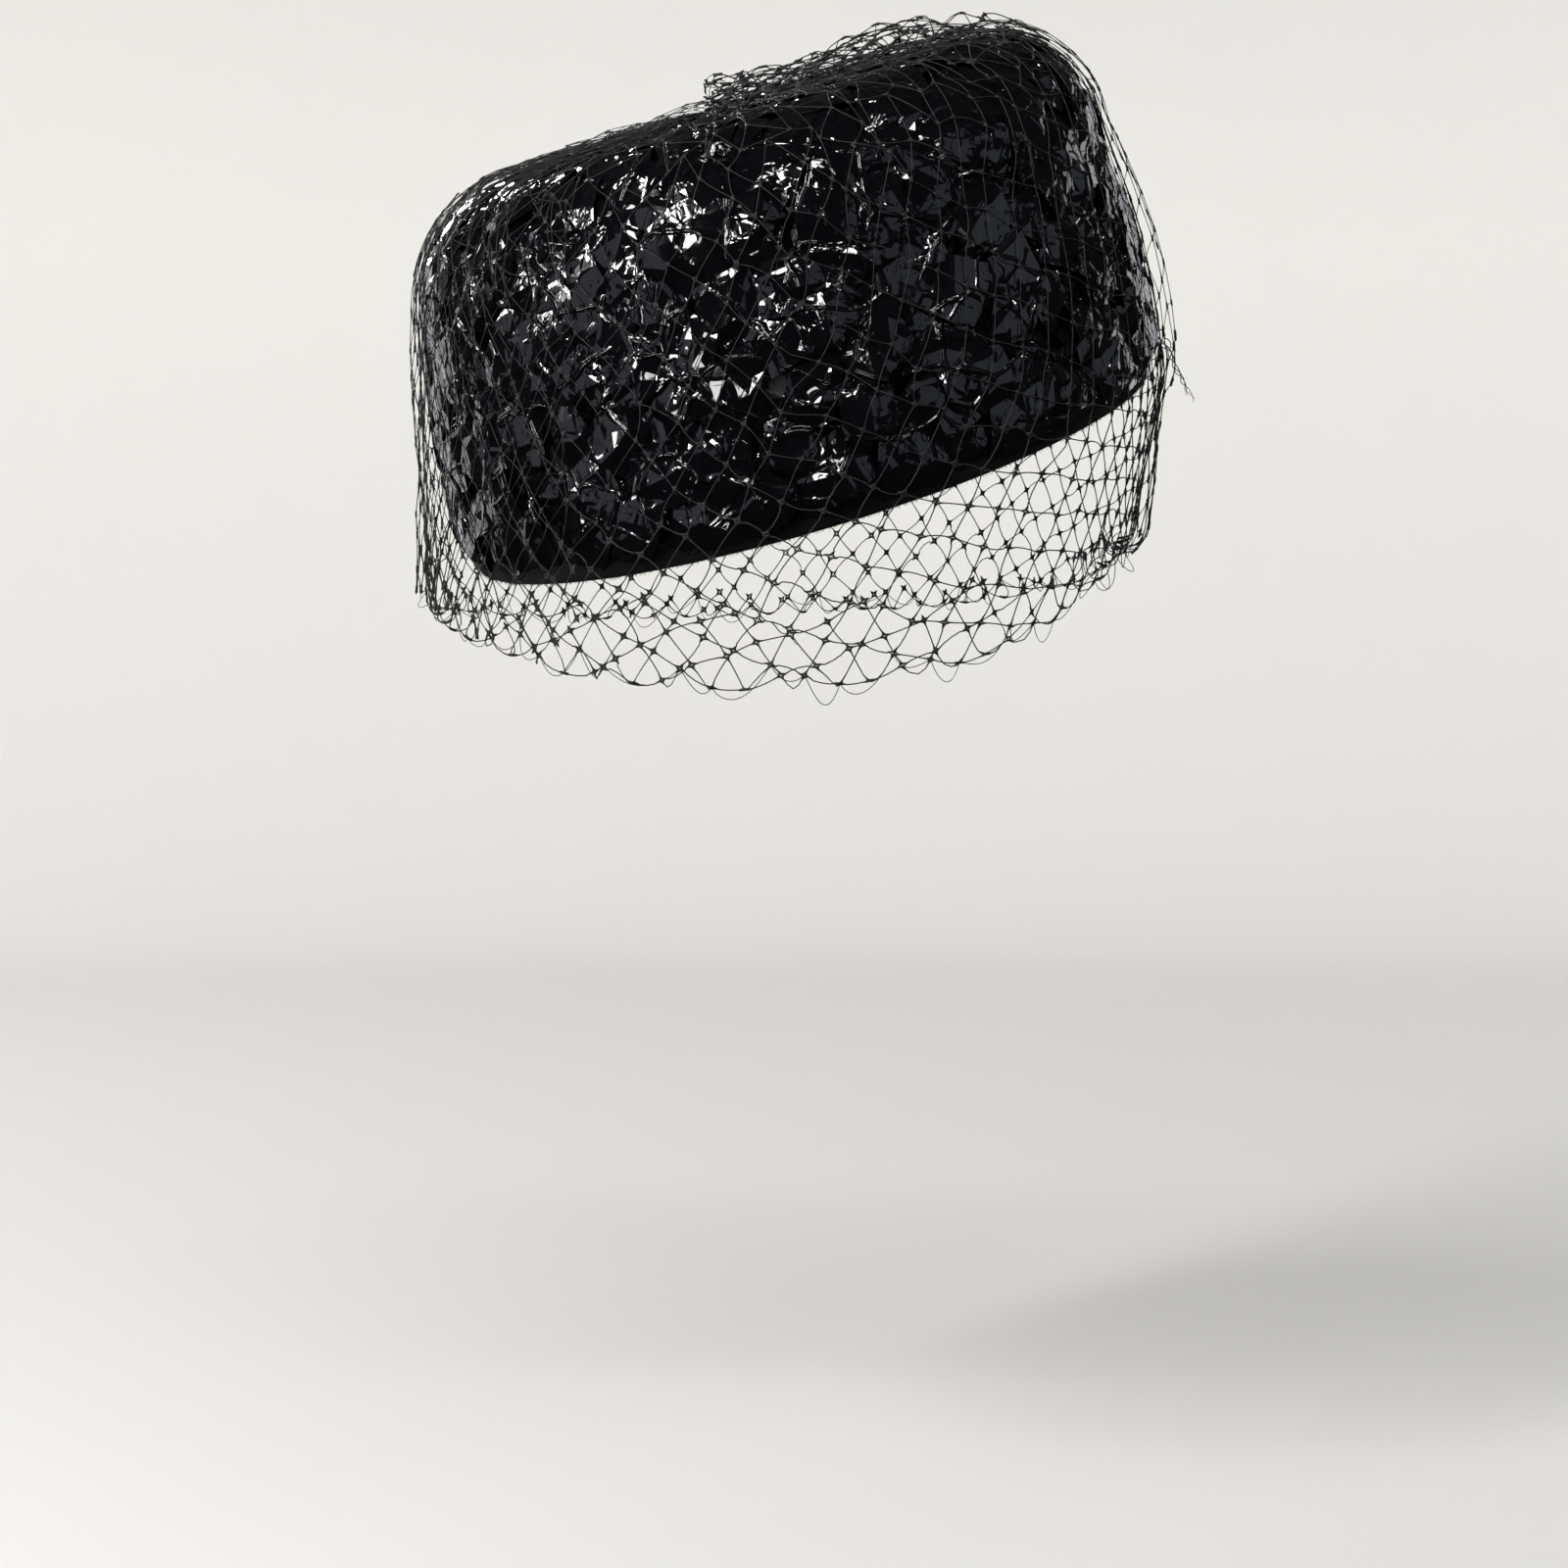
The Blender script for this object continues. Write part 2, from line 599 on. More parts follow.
# The net's drape: from the gather on the tip, over the edge and down the side, then taut to
# the hem, which hangs free and rolls inwards.
drape = {
    "standOff": 4.85 * mm,          # thread's middle off the crown's wall
    "gatherReach": 20 * mm,
    "drop": 64 * mm,                # the hem's lowest stretch below the rim's middle
    "turns": 240,
    "step": 1 * mm,
    "rollRadius": 2.5 * mm,
    "longest": 300,                 # steps in the longest way down
    "hem": [                        # degrees, share of the half width, of the drop, roll in mm
        (0, 0.94, 0.27, 4),
        (30, 1.00, 0.40, 4),
        (60, 1.03, 0.47, 4),
        (90, 1.06, 0.50, 4),
        (120, 1.08, 0.54, 6),
        (150, 1.10, 0.56, 2),
        (180, 1.10, 0.58, 2),
        (210, 1.09, 0.75, 8),
        (240, 1.08, 0.94, 19),
        (270, 1.05, 0.97, 19),
        (300, 0.99, 0.82, 16),
        (330, 0.93, 0.50, 6),
    ],
}


def makeDrape():
    s = drape
    degrees = np.arange(s["turns"]) * 360 / s["turns"]
    turn = np.radians(degrees)
    hemReach = hatForm["rimHalfWidth"] * roundCurve(s["hem"], degrees, 1)
    hems = np.stack([hemReach * np.cos(turn), hemReach * hatForm["depthRatio"] * np.sin(turn),
                     -s["drop"] * roundCurve(s["hem"], degrees, 2)], -1)
    rolls = np.maximum(roundCurve(s["hem"], degrees, 3), 2) * mm
    along = np.arange(s["gatherReach"], outline["along"][-1], s["step"])
    table = np.empty((s["turns"], s["longest"], 3))
    hemLengths, fullLengths = np.empty(s["turns"]), np.empty(s["turns"])
    for index in range(s["turns"]):
        over = crownPoints(along, np.full_like(along, turn[index]), s["standOff"])
        hem = hems[index]
        outward = np.array([math.cos(turn[index]), math.sin(turn[index]), 0])
        overhang = ((over - hem) @ outward) / (over[:, 2] - hem[2])
        leaving = int(np.argmax(overhang))
        angle = np.linspace(0, math.pi, 12)[1:, None]
        centre = hem - outward * s["rollRadius"]
        roll = centre + s["rollRadius"] * (
            outward * np.cos(angle) - np.array([0, 0, 1.0]) * np.sin(angle))
        rise = roll[-1] + np.array([[0, 0, 1.0]]) * rolls[index]
        path = np.concatenate([over[:leaving + 1], hem[None], roll, rise])
        lengths = np.concatenate([[0], np.cumsum(np.linalg.norm(np.diff(path, axis=0), axis=1))])
        hemLengths[index] = lengths[leaving + 1]
        fullLengths[index] = lengths[-1]
        steps = np.arange(s["longest"]) * s["step"]
        for axis in range(3):
            table[index, :, axis] = np.interp(steps, lengths, path[:, axis])
    down = np.gradient(table, axis=1)
    around = np.roll(table, -1, 0) - np.roll(table, 1, 0)
    normals = unit(np.cross(down, around))
    normals[np.linalg.norm(down, axis=-1) < 1e-9] = 0
    return {"table": table, "normals": normals, "hem": hemLengths, "full": fullLengths}


draped = makeDrape()


# Between which two of the drape's ways down a turn lies, and its share of the gap.
def roundPlace(turn):
    place = np.mod(turn / math.tau, 1) * drape["turns"]
    low = np.floor(place).astype(int) % drape["turns"]
    return low, (low + 1) % drape["turns"], place - np.floor(place)


def readRound(values, turn):
    low, high, share = roundPlace(turn)
    return values[low] * (1 - share) + values[high] * share


# Points of the draped net from turn, length along the drape and lift off it.
def drapePoints(turn, along, lift):
    low, high, share = roundPlace(turn)
    t = share[..., None]
    far = np.clip(along / drape["step"], 0, drape["longest"] - 1.001)
    step = np.floor(far).astype(int)
    u = (far - step)[..., None]

    def blend(values):
        return ((values[low, step] * (1 - t) + values[high, step] * t) * (1 - u)
                + (values[low, step + 1] * (1 - t) + values[high, step + 1] * t) * u)

    return blend(draped["table"]) + unit(blend(draped["normals"])) * lift[..., None]


# A net of square meshes laid over a drape: its threads turn from steep diamonds on the
# wearer's right to nearly upright squares on the left.
def layLattice(s, dice):
    pitch = s["pitch"]
    whole = s["window"] is None
    first, last = (0, 360) if whole else s["window"]
    samples = np.radians(np.linspace(first, last, s["samples"]))
    angle = np.radians(roundCurve(s["threadAngles"], np.degrees(samples)))
    width = s["meanReach"] * np.gradient(samples)
    sumA = np.concatenate([[0], np.cumsum((np.sin(angle) * width)[1:])])
    sumB = np.concatenate([[0], np.cumsum((np.cos(angle) * width)[1:])])
    countA, countB = round(sumA[-1] / pitch), round(sumB[-1] / pitch)
    if whole:
        sumA *= countA * pitch / sumA[-1]
        sumB *= countB * pitch / sumB[-1]

    def lattice(turn, drop):
        tilt = np.interp(turn, samples, angle)
        a = (drop * np.cos(tilt) - np.interp(turn, samples, sumA)) / pitch
        b = (np.interp(turn, samples, sumB) + drop * np.sin(tilt)) / pitch
        return a, b

    # The drop is measured from the rim, and is stretched above it.
    def toDrop(along):
        below = along - s["rimAlong"]
        return np.where(below > 0, below, below / s["stretch"])

    def toAlong(drop):
        return np.where(drop > 0, drop, drop * s["stretch"]) + s["rimAlong"]

    gridTurn, gridDrop = np.meshgrid(
        np.linspace(samples[0], samples[-1], s["searchTurns"]),
        np.arange(toDrop(0.0), toDrop(draped["full"].max()), pitch / 5), indexing="ij")
    a, b = lattice(gridTurn, gridDrop)
    pairs, where = np.unique(
        np.round(np.stack([a.ravel(), b.ravel()], -1)).astype(int), axis=0, return_index=True)
    turn, drop = gridTurn.ravel()[where], gridDrop.ravel()[where]

    # Each knot is moved until both of its threads cross there.
    small = 1e-5
    for _ in range(s["moves"]):
        a, b = lattice(turn, drop)
        aTurn, bTurn = lattice(turn + small, drop)
        aDrop, bDrop = lattice(turn, drop + small)
        j11, j12 = (aTurn - a) / small, (aDrop - a) / small
        j21, j22 = (bTurn - b) / small, (bDrop - b) / small
        offA, offB = pairs[:, 0] - a, pairs[:, 1] - b
        determinant = j11 * j22 - j12 * j21
        turn = turn + np.clip((offA * j22 - offB * j12) / determinant, -0.1, 0.1)
        drop = drop + np.clip((offB * j11 - offA * j21) / determinant, -pitch, pitch)
    a, b = lattice(turn, drop)
    exact = (np.abs(a - pairs[:, 0]) < 0.02) & (np.abs(b - pairs[:, 1]) < 0.02)
    along = toAlong(drop)
    limit = readRound(draped[s["until"]], turn)
    kept = exact & (turn >= samples[0]) & (turn < samples[-1] - 1e-6) & (along > 0) & (
        along < limit)
    pairs, turn, along = pairs[kept], turn[kept], along[kept]
    index = {tuple(pair): number for number, pair in enumerate(pairs.tolist())}

    # Neighbours one thread on in the four ways, over the seam too.
    ways = ((1, 0), (-1, 0), (0, 1), (0, -1))
    neighbours = np.full((len(turn), 4), -1)
    shifts = np.zeros((len(turn), 4))
    for (i, j), number in index.items():
        for side, (di, dj) in enumerate(ways):
            near = (i + di, j + dj)
            if near in index:
                neighbours[number, side] = index[near]
            elif whole and (near[0] + countA, near[1] - countB) in index:
                neighbours[number, side] = index[near[0] + countA, near[1] - countB]
                shifts[number, side] = math.tau
            elif whole and (near[0] - countA, near[1] + countB) in index:
                neighbours[number, side] = index[near[0] - countA, near[1] + countB]
                shifts[number, side] = -math.tau

    # Loose ends are taken off.
    alive = np.ones(len(turn), bool)
    while True:
        linked = (neighbours >= 0) & alive[neighbours] & alive[:, None]
        loose = alive & (linked.sum(1) < 2)
        if not loose.any():
            break
        alive[loose] = False
    renumber = np.cumsum(alive) - 1
    neighbours = np.where(linked, renumber[neighbours], -1)[alive]
    shifts, turn, along = shifts[alive], turn[alive], along[alive]
    crush = np.clip((s["crushTo"] - along) / (s["crushTo"] - s["crushFrom"]), 0, 1)
    slack = s["slack"] * (1 + s["crushSlack"] * crush) * np.where(
        along < s["rimAlong"], s["crownSlack"], 1)
    turn = turn + dice.normal(0, slack, len(turn)) / s["meanReach"]
    along = np.maximum(along + dice.normal(0, slack, len(along)), 0)
    waves = 0.5 + 0.5 * np.sin(s["folds"] * turn + along / (14 * mm))
    lift = s["lift"] + s["wave"] * waves * (1 - crush)
    lift = lift + dice.uniform(0, 1, len(turn)) * (s["unevenLift"] + s["crushLift"] * crush)
    return {"place": np.stack([turn, along, lift], -1), "neighbours": neighbours,
            "shifts": shifts}


def placeOnDrape(params):
    return drapePoints(params[..., 0], params[..., 1], params[..., 2])


# Threads and knots of a net as closed bodies. A knot is a small four-pointed ring.
def netBodies(knots, place, s, dice):
    params, neighbours, shifts = knots["place"], knots["neighbours"], knots["shifts"]
    centres = place(params)
    count = len(params)

    arms = np.zeros((count, 4, 3))
    for side in range(4):
        linked = neighbours[:, side] >= 0
        other = params[neighbours[linked, side]].copy()
        other[:, 0] += shifts[linked, side]
        near = params[linked] * 0.85 + other * 0.15
        arms[linked, side] = unit(place(near) - centres[linked])
    for side, opposite in ((0, 1), (1, 0), (2, 3), (3, 2)):
        missing = np.linalg.norm(arms[:, side], axis=1) < 0.5
        arms[missing, side] = -arms[missing, opposite]
    for side, across in ((0, 2), (2, 0)):
        stranded = np.linalg.norm(arms[:, side], axis=1) < 0.5
        arms[stranded, side] = unit(np.cross(arms[stranded, across], [[0.3, 0.2, 1.0]]))
        arms[stranded, side + 1] = -arms[stranded, side]
    normals = unit(np.cross(arms[:, 0] - arms[:, 1], arms[:, 2] - arms[:, 3]))

    knotSize = np.where(params[:, 1] < s["rimAlong"], s["drawnKnot"], 1)[:, None]
    star = s["knotReach"] * dice.uniform(0.85, 1.15, (count, 1, 1)) * knotSize[:, None]
    corners = centres[:, None] + arms[:, (0, 2, 1, 3)] * star
    between = centres[:, None] + (
        arms[:, (0, 2, 1, 3)] + arms[:, (2, 1, 3, 0)]) * star * s["knotWaist"]
    loop = np.stack([corners, between], 2).reshape(count, 8, 3)
    parts = [rings(loop, s["knotRadius"] * knotSize, 3, normals)]

    # Each thread once, from corner to corner, bowed a little and thicker at its ends.
    starts, ends, offsets, sides = [], [], [], []
    for side in (0, 2):
        linked = np.flatnonzero(neighbours[:, side] >= 0)
        starts.append(linked)
        ends.append(neighbours[linked, side])
        offsets.append(shifts[linked, side])
        sides.append(np.full(len(linked), side))
    starts, ends = np.concatenate(starts), np.concatenate(ends)
    offsets, sides = np.concatenate(offsets), np.concatenate(sides)
    share = np.linspace(0, 1, s["threadSteps"])[None, :, None]
    other = params[ends].copy()
    other[:, 0] += offsets
    line = params[starts][:, None] * (1 - share) + other[:, None] * share
    bulge = np.sin(math.pi * share[..., 0])
    drawn = (params[starts, 1] < s["rimAlong"])[:, None]
    sway = dice.normal(0, s["bow"], len(starts))[:, None] * bulge
    sway = sway * np.where(drawn, s["drawnBow"], 1)
    upright = (sides == 2)[:, None]
    line[..., 0] += np.where(upright, 0, sway) / s["meanReach"]
    line[..., 1] += np.where(upright, sway, 0)
    paths = place(line)
    paths[:, 0] = centres[starts] + arms[starts, sides] * star[starts, 0] * 0.9
    paths[:, -1] = centres[ends] + arms[ends, sides + 1] * star[ends, 0] * 0.9
    taper = 1 + s["flare"] * np.abs(2 * share[..., 0] - 1) ** 4
    radii = s["threadRadius"] * taper * np.where(drawn, s["drawnRadius"], 1)
    parts.append(tubes(paths, radii, 4))
    return parts


veil = {
    "seed": 21,
    "pitch": 8.5 * mm,              # side of a mesh
    "meanReach": 98 * mm,
    "window": None,                 # all round
    "until": "full",
    "rimAlong": 150 * mm,
    "stretch": 1.25,                # meshes over the crown are drawn long
    "threadAngles": [               # degrees round, degrees that a thread falls to the left
        (0, 12), (30, 18), (60, 28), (90, 36), (120, 42), (150, 45),
        (180, 46), (210, 46), (240, 42), (270, 34), (300, 24), (330, 15),
    ],
    "samples": 1441,                # places round at which the threads' angles are summed
    "searchTurns": 900,             # places round at which knots are first looked for
    "moves": 12,
    "slack": 0.5 * mm,
    "lift": 0.0,
    "wave": 0.0,
    "folds": 3,
    "unevenLift": 0.5 * mm,
    "crushFrom": 62 * mm,           # the net is crushed on the tip, up to here
    "crushTo": 96 * mm,
    "crushSlack": 2.4,
    "crushLift": 1.5 * mm,
    "crownSlack": 1.7,              # how much looser the meshes lie over the crown
    "knotReach": 1.3 * mm,
    "knotWaist": 0.17,
    "knotRadius": 0.40 * mm,
    "threadSteps": 5,
    "bow": 0.45 * mm,
    "drawnBow": 0.7,                # over the crown the net is drawn straighter and thinner
    "drawnRadius": 0.7,
    "drawnKnot": 0.75,
    "flare": 0.35,
    "threadRadius": 0.155 * mm,
    "loopRadius": 0.11 * mm,
    "loopSag": (2.5 * mm, 6 * mm),
    "loopSteps": 12,
    "loopReach": (0.5, 3.2),        # shortest and longest, in meshes
    "loopsAbove": 1 * mm,
    "loopBand": 0.42,               # how near to the hem their knots lie, in meshes
}


# The net's thin selvedge: loops that hang from knot to knot along the hem.
def hemLoops(knots, s, dice):
    turn, along = knots["place"][:, 0], knots["place"][:, 1]
    hem = readRound(draped["hem"], turn) - s["loopsAbove"]
    near = np.flatnonzero(np.abs(along - hem) < s["loopBand"] * s["pitch"])
    near = near[np.argsort(turn[near])]
    centres = placeOnDrape(knots["place"][near])
    starts, ends = centres, np.roll(centres, -1, axis=0)
    apart = np.linalg.norm(starts - ends, axis=1)
    shortest, longest = s["loopReach"]
    kept = (apart > shortest * s["pitch"]) & (apart < longest * s["pitch"])
    share = np.linspace(0, 1, s["loopSteps"])[None, :, None]
    paths = starts[kept, None] * (1 - share) + ends[kept, None] * share
    sag = dice.uniform(*s["loopSag"], len(paths))[:, None]
    skew = share[..., 0] ** dice.uniform(0.75, 1.3, len(paths))[:, None]
    paths[..., 2] -= sag * 4 * skew * (1 - skew)
    paths[..., :2] *= 1 + dice.normal(0, 0.02, len(paths))[:, None, None] * np.sin(
        math.pi * share)
    return tubes(paths, s["loopRadius"], 4)


def makeVeil(name, s):
    dice = np.random.default_rng(s["seed"])
    knots = layLattice(s, dice)
    parts = netBodies(knots, placeOnDrape, s, dice)
    if s["loopRadius"]:
        parts.append(hemLoops(knots, s, dice))
    return newPiece(name, parts, finishes["thread"])


# A second layer where the net is folded over itself, on the wearer's right.
rightFold = dict(
    veil, seed=22, window=(158, 238), until="hem", pitch=9.0 * mm, meanReach=140 * mm,
    threadAngles=[(0, 40), (120, 52), (240, 44)], slack=1.2 * mm, lift=0.4 * mm,
    wave=2.2 * mm, folds=20, loopRadius=0)

# The net's double edge down the wearer's left.
leftEdge = dict(
    veil, seed=23, window=(-12, 12), pitch=9.0 * mm, meanReach=115 * mm, stretch=1.2,
    threadAngles=[(0, 30), (120, 34), (240, 30)], lift=1.5 * mm, wave=2.4 * mm, folds=12,
    loopRadius=0)


# Loose ends of thread: where they leave the net, in degrees round, share of the way down to
# the hem and lift, then how far they run in degrees, down and outwards, then how much they
# curl and from which turn.
looseEnds = {
    "threadRadius": 0.17 * mm,
    "firstAlong": 25 * mm,          # where the way down to the hem starts
    "steps": 40,
    "curls": 18,                    # radians over one end
    "rows": [
        (1, 0.70, 0.0, 2, 17 * mm, 13 * mm, 0.6 * mm, 0.0),     # the tail on the wearer's
        (1, 0.70, 0.0, 2, 17 * mm, 13 * mm, 0.6 * mm, 2.1),     # left: three twisted strands
        (1, 0.70, 0.0, 2, 16 * mm, 12 * mm, 0.6 * mm, 4.2),
        (-4, 0.69, 0.5 * mm, -4, 7 * mm, 3 * mm, 0.4 * mm, 1.0),
        (-38, 0.97, 0.0, 5, -7 * mm, 3 * mm, 0.4 * mm, 2.0),
        (172, 0.93, 0.0, -3, -2 * mm, 4 * mm, 0.4 * mm, 0.5),
        (176, 0.96, 0.0, 3, 5 * mm, 3 * mm, 0.4 * mm, 3.0),
        (216, 0.02, 0.5 * mm, 2, -3 * mm, 4 * mm, 0.4 * mm, 1.5),
        (262, 0.90, 0.0, 6, 9 * mm, 1 * mm, 0.4 * mm, 2.5),
    ],
}


def makeLooseEnds():
    s = looseEnds
    paths = []
    share = np.linspace(0, 1, s["steps"])
    for degrees, way, lift, run, down, out, curl, start in s["rows"]:
        turn = np.radians(degrees + run * share)
        hem = readRound(draped["hem"], turn)
        along = s["firstAlong"] + way * (hem - s["firstAlong"]) + down * share
        spin = s["curls"] * share + start
        paths.append(placeOnDrape(np.stack([
            turn, along + curl * np.sin(spin), lift + out * share + curl * np.cos(spin)], -1)))
    taper = 1 - 0.6 * share**3
    return newPiece("looseEnds", [tubes(np.array(paths), s["threadRadius"] * taper, 5)],
                    finishes["thread"])


# Top ruffle: the net's bunched end, pleated like a fan over the tip on the wearer's left.
ruffle = dict(
    veil, seed=31, pitch=7.0 * mm, meanReach=1.0, rimAlong=0.0, threadSteps=7,
    bow=0.9 * mm, slack=0.9 * mm, roughness=1.6 * mm,
    flatWidth=112 * mm, flatLength=92 * mm, start=-6 * mm, startWidth=56 * mm,
    spread=92,                      # degrees of the fan
    reachDown=0.85,                 # how far it goes over the crown's rounded edge
    height=10.5 * mm, pleats=3, wander=0.7, sway=1.6 * mm, sideDrop=0.35,
    sections=[                      # share of its length, share of its height
        (0.00, 1.00),
        (0.30, 0.64),
        (0.60, 0.90),
        (0.80, 0.56),
        (1.00, 0.20),
    ])


# Points of the ruffle from its flat strip: across, along and lift.
def rufflePoints(params, wobble):
    s = ruffle
    flatReach = outline["flatReach"]
    farReach = flatReach + s["reachDown"] * hatForm["edgeRadius"]
    edgeStart = hatForm["crownHeight"] - hatForm["edgeRadius"]
    share = np.clip(params[..., 1] / s["flatLength"], 0, 1)
    side = np.clip(params[..., 0] / s["flatWidth"], 0, 1) - 0.5
    turn = math.radians(s["spread"]) * side
    pleat = math.tau * s["pleats"] * (side + 0.5)
    x = s["start"] + (farReach * np.cos(turn) - s["start"]) * share
    y = (s["startWidth"] * side * (1 - share)
         + farReach * hatForm["depthRatio"] * np.sin(turn) * share
         + s["sway"] * np.sin(pleat * 2 + wobble[2]))
    wander = np.sin(9 * side + wobble[0]) + np.sin(7 * share + 15 * side + wobble[1])
    rise = (0.5 - 0.5 * np.cos(pleat + s["wander"] * wander)) * (
        1 - s["sideDrop"] * np.abs(2 * side) ** 1.5)
    crest = s["height"] * smoothCurve(s["sections"], share)
    standOff = (drape["standOff"] + 0.2 * mm + crest * rise * (0.85 + 0.06 * wander)
                + params[..., 2])
    reach = np.hypot(x, y / hatForm["depthRatio"])
    over = np.maximum(reach - flatReach, 0)
    radius = hatForm["edgeRadius"] + standOff
    height = np.where(reach > flatReach, edgeStart + np.sqrt(
        np.maximum(radius**2 - over**2, 0)), hatForm["crownHeight"] + standOff)
    return np.stack([x + hatForm["lean"] * height, y, height], -1) @ worn.T


# A square lattice of the net, laid cornerwise on the flat strip.
def makeRuffle():
    s = ruffle
    dice = np.random.default_rng(s["seed"])
    wobble = dice.uniform(0, math.tau, 4)
    diagonal = s["pitch"] / math.sqrt(2)
    columns = int(s["flatWidth"] / diagonal)
    rows = int(s["flatLength"] / diagonal)
    spots, index = [], {}
    for row in range(rows + 1):
        for column in range(row % 2, columns + 1, 2):
            index[row, column] = len(spots)
            spots.append((column * diagonal, row * diagonal, 0.0))
    params = np.array(spots)
    params[:, :2] += dice.normal(0, s["slack"], (len(params), 2))
    params[:, 2] = dice.uniform(0, s["roughness"], len(params))
    neighbours = np.full((len(params), 4), -1)
    for (row, column), number in index.items():
        for side, (down, across) in enumerate(((1, 1), (-1, -1), (1, -1), (-1, 1))):
            neighbours[number, side] = index.get((row + down, column + across), -1)
    knots = {"place": params, "neighbours": neighbours, "shifts": np.zeros(neighbours.shape)}
    parts = netBodies(knots, lambda spots: rufflePoints(spots, wobble), s, dice)
    return newPiece("topRuffle", parts, finishes["thread"])


pieces = [
    (makeFoundation(), "crown", "straw"),
    (makeStrawSide(), "crown", "straw"),
    (makeStrawTip(), "crown", "straw"),
    (makeBinding(), "rim_binding", "velvet"),
    (makeVeil("veilNet", veil), "veil", "netting"),
    (makeVeil("veilRightFold", rightFold), "veil", "netting"),
    (makeVeil("veilLeftEdge", leftEdge), "veil", "netting"),
    (makeLooseEnds(), "veil", "netting"),
    (makeRuffle(), "top_ruffle", "netting"),
]
for piece, node, slotName in pieces:
    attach(piece, "root")
    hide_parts(node)
print("pieces fitted to the frame")


# Studio: a pale round floor that curves up far behind, soft lights, the photograph's view.
studio = {
    "floorHeight": -0.30,
    "floorReach": 2.6,
    "coveRadius": 1.0,
    "wallHeight": 2.4,
    "sides": 96,
    "toneReach": (0.35, 2.6),       # from the floor's colour to the wall's
    "floorColor": (0.42, 0.415, 0.405),
    "wallColor": (0.90, 0.89, 0.87),
    "camera": (-0.0071, -0.8225, -0.088),
    "lens": 68.5,
    "worldLight": 0.03,
    "hatAim": (0, 0, 0.03),         # where the lamps point
    "wallAim": (0.6, 3.0, -0.7),    # and the wall's: a share of their own X, then Y and Z
    "lights": [                     # name, place, size, watts, colour
        ("keyLight", (-0.75, -1.15, 0.75), (0.15, 0.9), 42, (1.0, 0.99, 0.97)),
        ("lowSpark", (-0.35, -1.2, -0.02), (0.06, 0.7), 3.2, (1.0, 0.99, 0.98)),
        ("frontSpark", (-0.05, -1.25, 0.9), (0.9, 0.12), 16, (1.0, 0.99, 0.98)),
        ("windowLight", (1.5, -0.9, 0.3), (1.8, 1.6), 5.5, (0.78, 0.87, 1.0)),
        ("leftPanel", (-1.5, -0.6, 0.0), (1.2, 1.4), 4.5, (0.84, 0.91, 1.0)),
        ("leftSpark", (-1.35, -0.35, 0.5), (0.1, 0.8), 12, (1.0, 0.99, 0.98)),
        ("backPanel", (0.9, 1.3, 0.4), (0.8, 0.8), 2.2, (0.95, 0.98, 1.0)),
        ("backPanelLeft", (-0.95, 1.2, 0.2), (0.8, 0.9), 2.6, (0.96, 0.98, 1.0)),
        ("backSpark", (-0.5, 1.3, 0.6), (0.1, 0.5), 9, (1.0, 0.99, 0.97)),
        ("topFill", (0.0, 0.4, 2.0), (1.6, 1.2), 10, (1.0, 1.0, 1.0)),
        ("wallLeft", (-1.5, 0.6, 1.6), (1.2, 1.2), 26, (1.0, 0.99, 0.97)),
        ("wallRight", (1.5, 0.6, 1.6), (1.2, 1.2), 13.5, (0.98, 1.0, 0.98)),
    ],
}


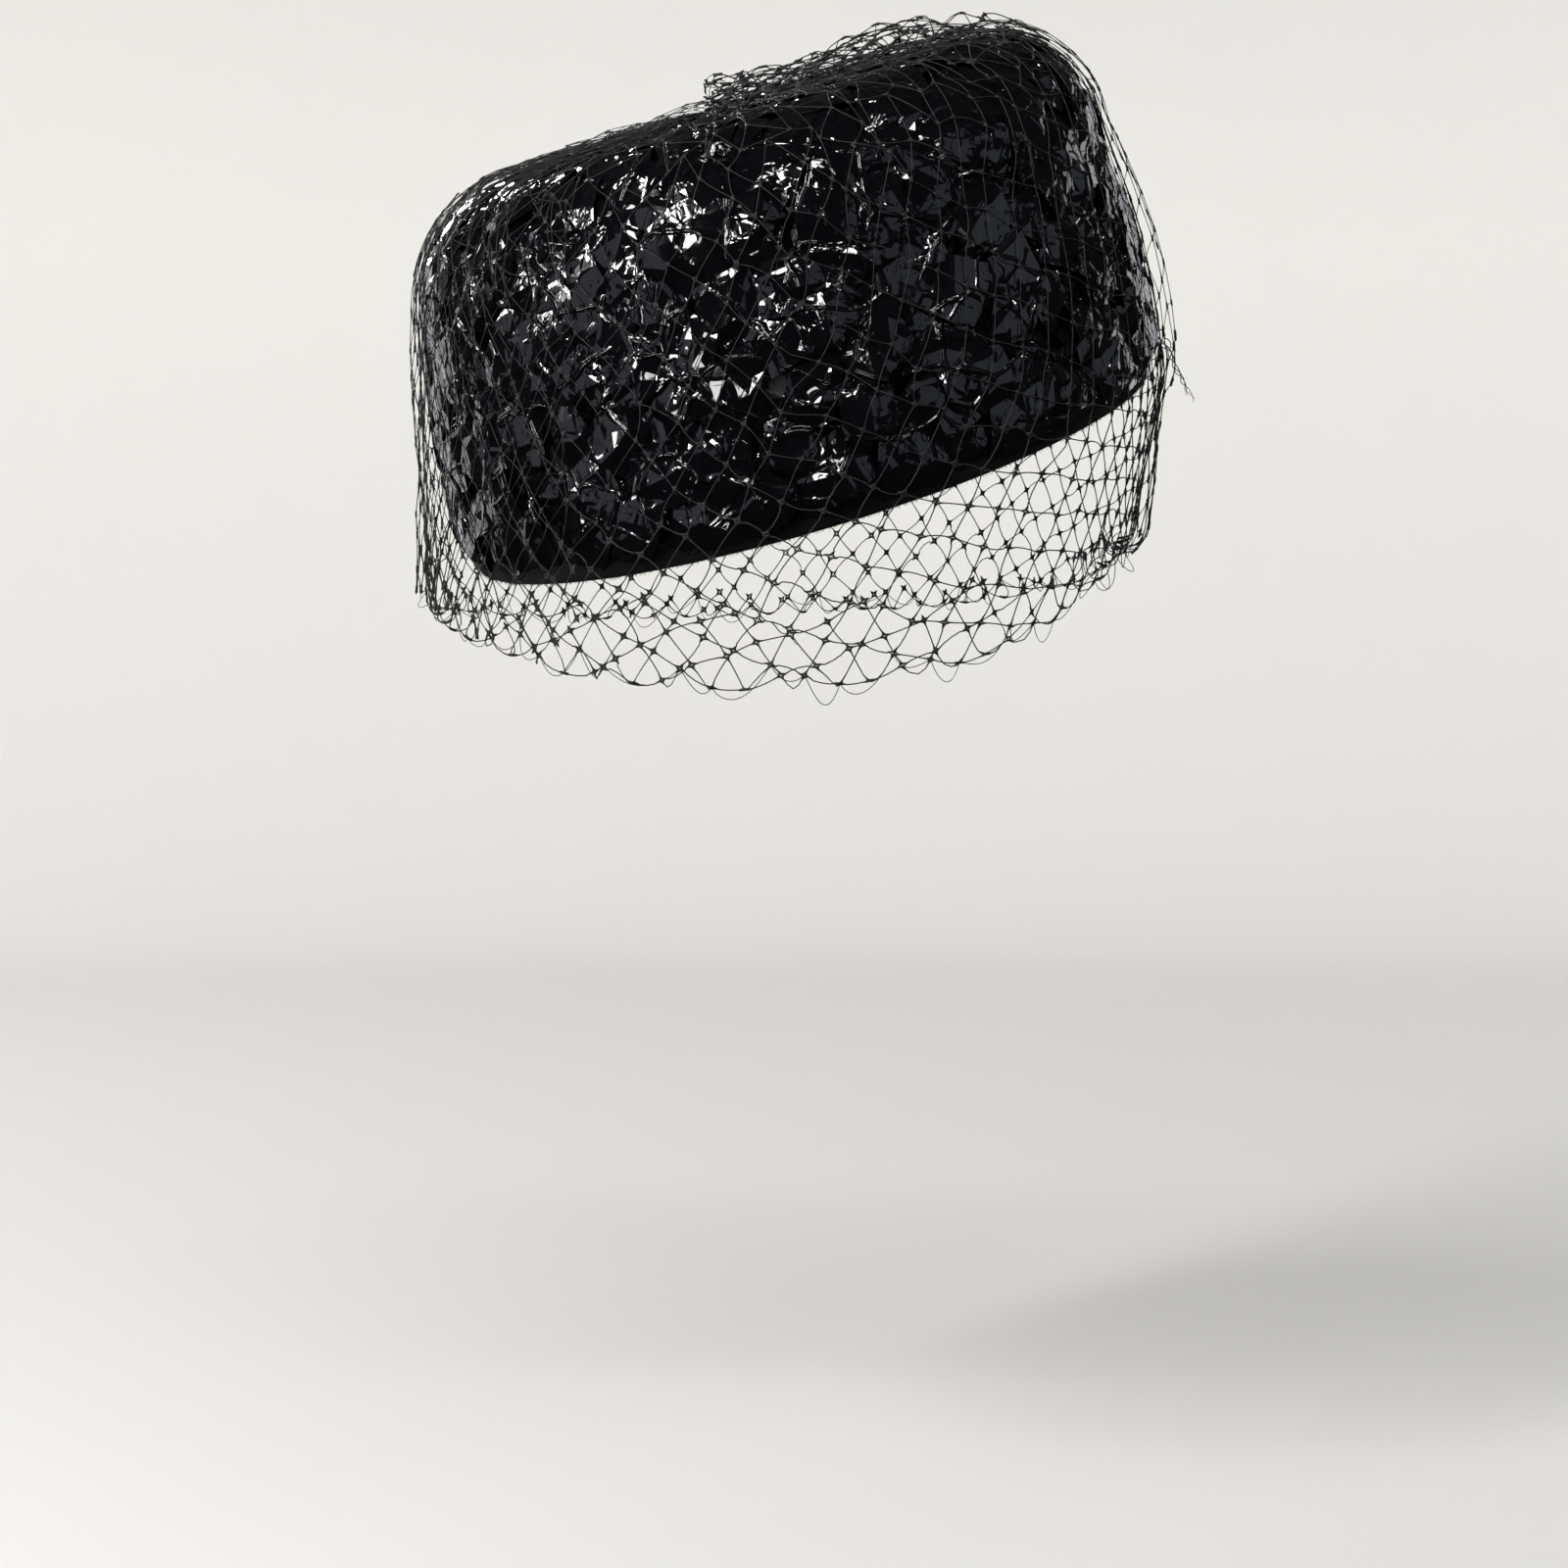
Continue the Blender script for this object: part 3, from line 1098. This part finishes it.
def makeStudio():
    s = studio
    angle = np.linspace(-math.pi / 2, 0, 14)
    reach = np.concatenate([[0.01, 0.5], s["floorReach"] + s["coveRadius"] * np.cos(angle)])
    rise = np.concatenate([[0, 0], s["coveRadius"] * (1 + np.sin(angle))])
    reach = np.append(reach, reach[-1])
    rise = np.append(rise, s["wallHeight"])
    turn = np.arange(s["sides"]) * math.tau / s["sides"]
    points = np.stack([reach[:, None] * np.cos(turn), reach[:, None] * np.sin(turn),
                       s["floorHeight"] + rise[:, None] + 0 * turn], -1)
    material, _, make, mixTones = newMaterial(
        "paleFloor", {"Roughness": 0.9, "Specular IOR Level": 0.1})
    away = make("ShaderNodeVectorMath", {
        0: make("ShaderNodeTexCoord").outputs["Object"]}, operation="LENGTH")
    share = make("ShaderNodeMapRange", {
        "Value": away.outputs["Value"], "From Min": s["toneReach"][0],
        "From Max": s["toneReach"][1]})
    mixTones(share.outputs["Result"], s["floorColor"], s["wallColor"])
    floor = newPiece("paleFloor", [(points, [
        gridFaces(1, len(reach), s["sides"], closedAcross=True),
        np.arange(s["sides"])[None, ::-1]])], material)
    floor.visible_glossy = False    # the film mirrors the lights alone

    hatOnly = bpy.data.collections.new("hatOnly")
    for piece, _, _ in pieces:
        hatOnly.objects.link(piece)
    for name, place, size, watts, color in s["lights"]:
        light = bpy.data.lights.new(name, "AREA")
        light.shape = "RECTANGLE"
        light.size, light.size_y = size
        light.energy = watts
        light.color = color
        lamp = bpy.data.objects.new(name, light)
        lamp.location = place
        lamp.visible_glossy = not name.startswith(("wall", "topFill"))
        if name.startswith("back"):     # these would draw an edge on the floor
            lamp.light_linking.receiver_collection = hatOnly
        side, back, height = s["wallAim"]
        target = (side * place[0], back, height) if name.startswith("wall") else s["hatAim"]
        aim = Vector(target) - Vector(place)
        lamp.rotation_euler = aim.to_track_quat("-Z", "Y").to_euler()
        bpy.context.scene.collection.objects.link(lamp)

    world = bpy.data.worlds.new("studioAir")
    world.use_nodes = True
    air = world.node_tree.nodes["Background"]
    air.inputs["Color"].default_value = (1, 1, 1, 1)
    air.inputs["Strength"].default_value = s["worldLight"]
    bpy.context.scene.world = world
    bpy.context.scene.view_settings.view_transform = "Standard"

    camera = bpy.data.cameras.new("photoView")
    camera.lens = s["lens"]
    camera.sensor_width = 36
    viewer = bpy.data.objects.new("photoView", camera)
    viewer.location = s["camera"]
    viewer.rotation_euler = (math.pi / 2, 0, 0)
    bpy.context.scene.collection.objects.link(viewer)
    bpy.context.scene.camera = viewer


makeStudio()
print("studio ready")
